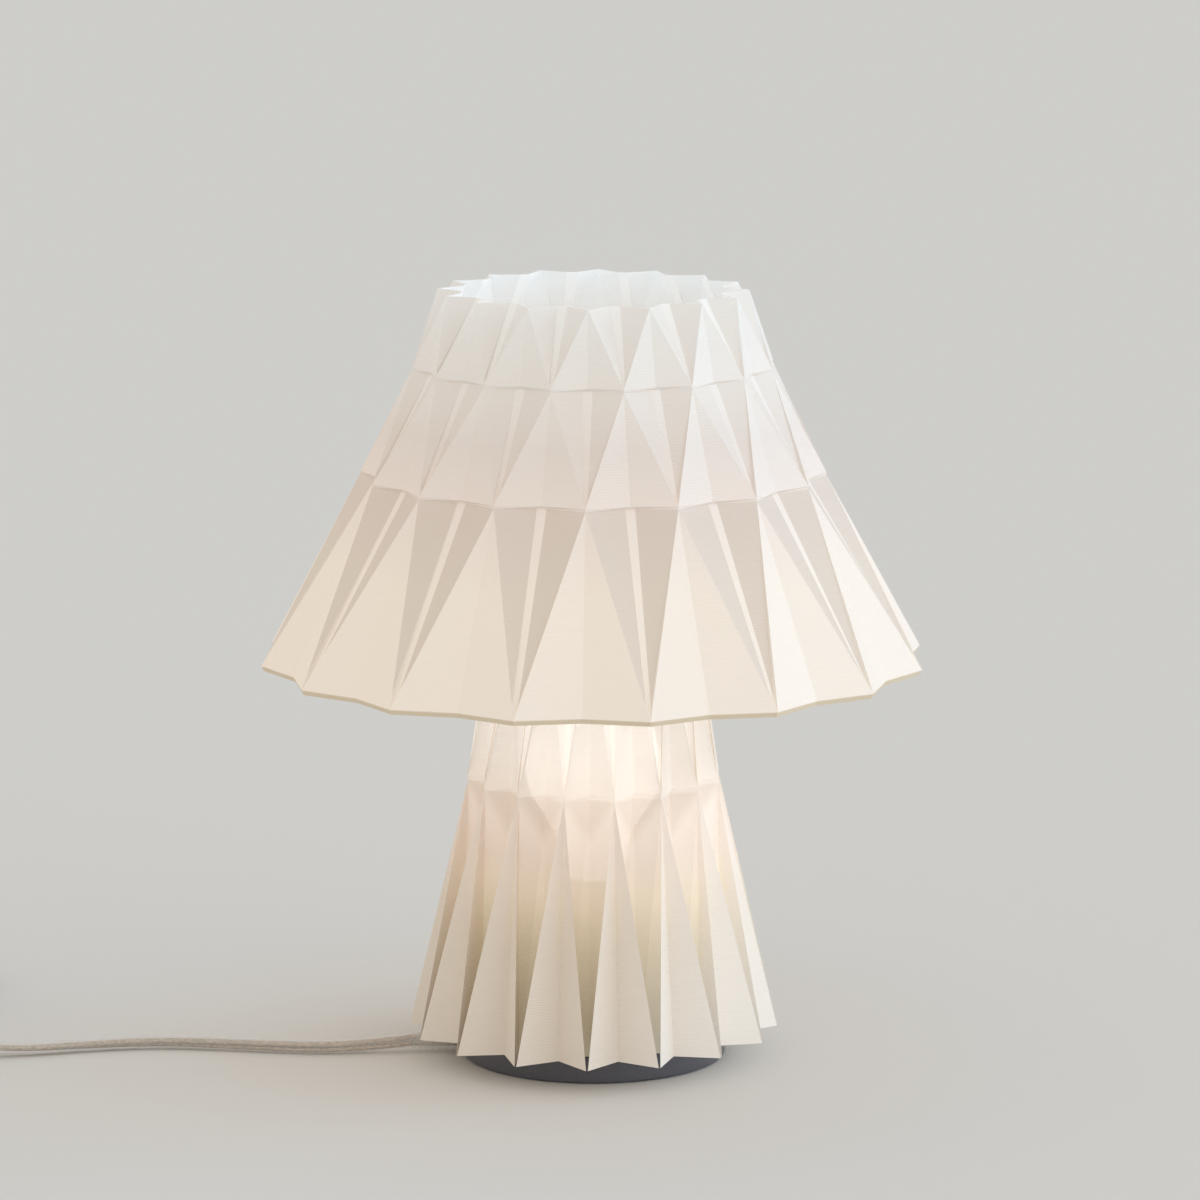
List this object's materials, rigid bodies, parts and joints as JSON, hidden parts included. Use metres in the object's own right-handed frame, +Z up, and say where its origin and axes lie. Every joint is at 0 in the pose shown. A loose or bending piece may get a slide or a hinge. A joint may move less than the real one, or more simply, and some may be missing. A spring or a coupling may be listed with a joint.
{
  "type": "pleated table lamp",
  "caption": "Table lamp with a tapered, pleated translucent shade on a pleated translucent base shell over a heavy round foot, with mains lead, inline switch and plug.",
  "frame": {"origin": "centre of the foot's underside, on the surface that the lamp stands on", "axes": "+Z up the lamp's axis; -Y is the front; the lead leaves towards -X"},
  "size_m": [0.5727, 0.2864, 0.338],
  "materials": {
    "shade_print": "translucent, 3D printed in fine layers, lit from inside",
    "base_print": "translucent, 3D printed in fine layers, lit from inside",
    "puck_coating": "satin",
    "pad_rubber": "matte",
    "steel": "zinc plated",
    "cup_coating": "satin",
    "holder_plastic": "satin",
    "ceramic": "glazed",
    "brass": "plain",
    "carrier_print": "printed",
    "bulb_metal": "nickel plated",
    "bulb_insulator": "gloss",
    "bulb_glass": "clear",
    "filament": "glowing",
    "lead_jacket": "clear jacket over two cores",
    "relief_plastic": "clear",
    "core_jacket": "clear over tinned copper",
    "tie_plastic": "matte",
    "switch_plastic": "clear to milky",
    "rocker_plastic": "gloss",
    "pin_metal": "nickel plated"
  },
  "bodies": {
    "lamp": {"base_shell": "base_print", "base_puck": "puck_coating", "foot_pad": "pad_rubber", "stem_tube": "steel", "stem_washer": "steel", "stem_nuts": "steel", "grip_screws": "steel", "shell_screws": "steel", "carrier_screws": "steel", "carrier_nuts": "steel", "switch_screws": "steel", "rocker_pin": "steel", "holder_cup": "cup_coating", "pedestal": "cup_coating", "lampholder_cap": "holder_plastic", "lampholder_body": "holder_plastic", "cord_grip": "holder_plastic", "lampholder_insert": "ceramic", "thread_sleeve": "brass", "centre_contact": "brass", "terminal_screws": "brass", "switch_contacts": "brass", "shade_carrier": "carrier_print", "cord_inlet": "lead_jacket", "cord_lead": "lead_jacket", "cord_middle": "lead_jacket", "cord_coil": "lead_jacket", "cord_tail": "lead_jacket", "cord_relief": "relief_plastic", "lead_cores": "core_jacket", "coil_tie": "tie_plastic", "switch_base": "switch_plastic", "switch_cover": "switch_plastic", "plug_body": "switch_plastic", "plug_boot": "switch_plastic", "plug_pins": "pin_metal"},
    "shade": {"shade_shell": "shade_print"},
    "bulb": {"bulb_contact": "bulb_metal", "bulb_insulator": "bulb_insulator", "bulb_cap": "bulb_metal", "bulb_glass": "bulb_glass", "bulb_post": "bulb_glass", "bulb_filaments": "filament"},
    "rocker": {"switch_rocker": "rocker_plastic"}
  },
  "joints": [
    {"name": "shade_lift", "type": "slide", "parent": "lamp", "child": "shade", "axis": [0, 0, 1], "range_m": [0, 0.16]},
    {"name": "bulb_turn", "type": "hinge", "parent": "lamp", "child": "bulb", "pos_m": [0, 0, 0.09], "axis": [0, 0, 1], "range_deg": [0, 1620]},
    {"name": "switch_rock", "type": "hinge", "parent": "lamp", "child": "rocker", "pos_m": [-0.306, -0.012, 0.0102], "axis": [0, 1, 0], "range_deg": [0, 16]}
  ]
}
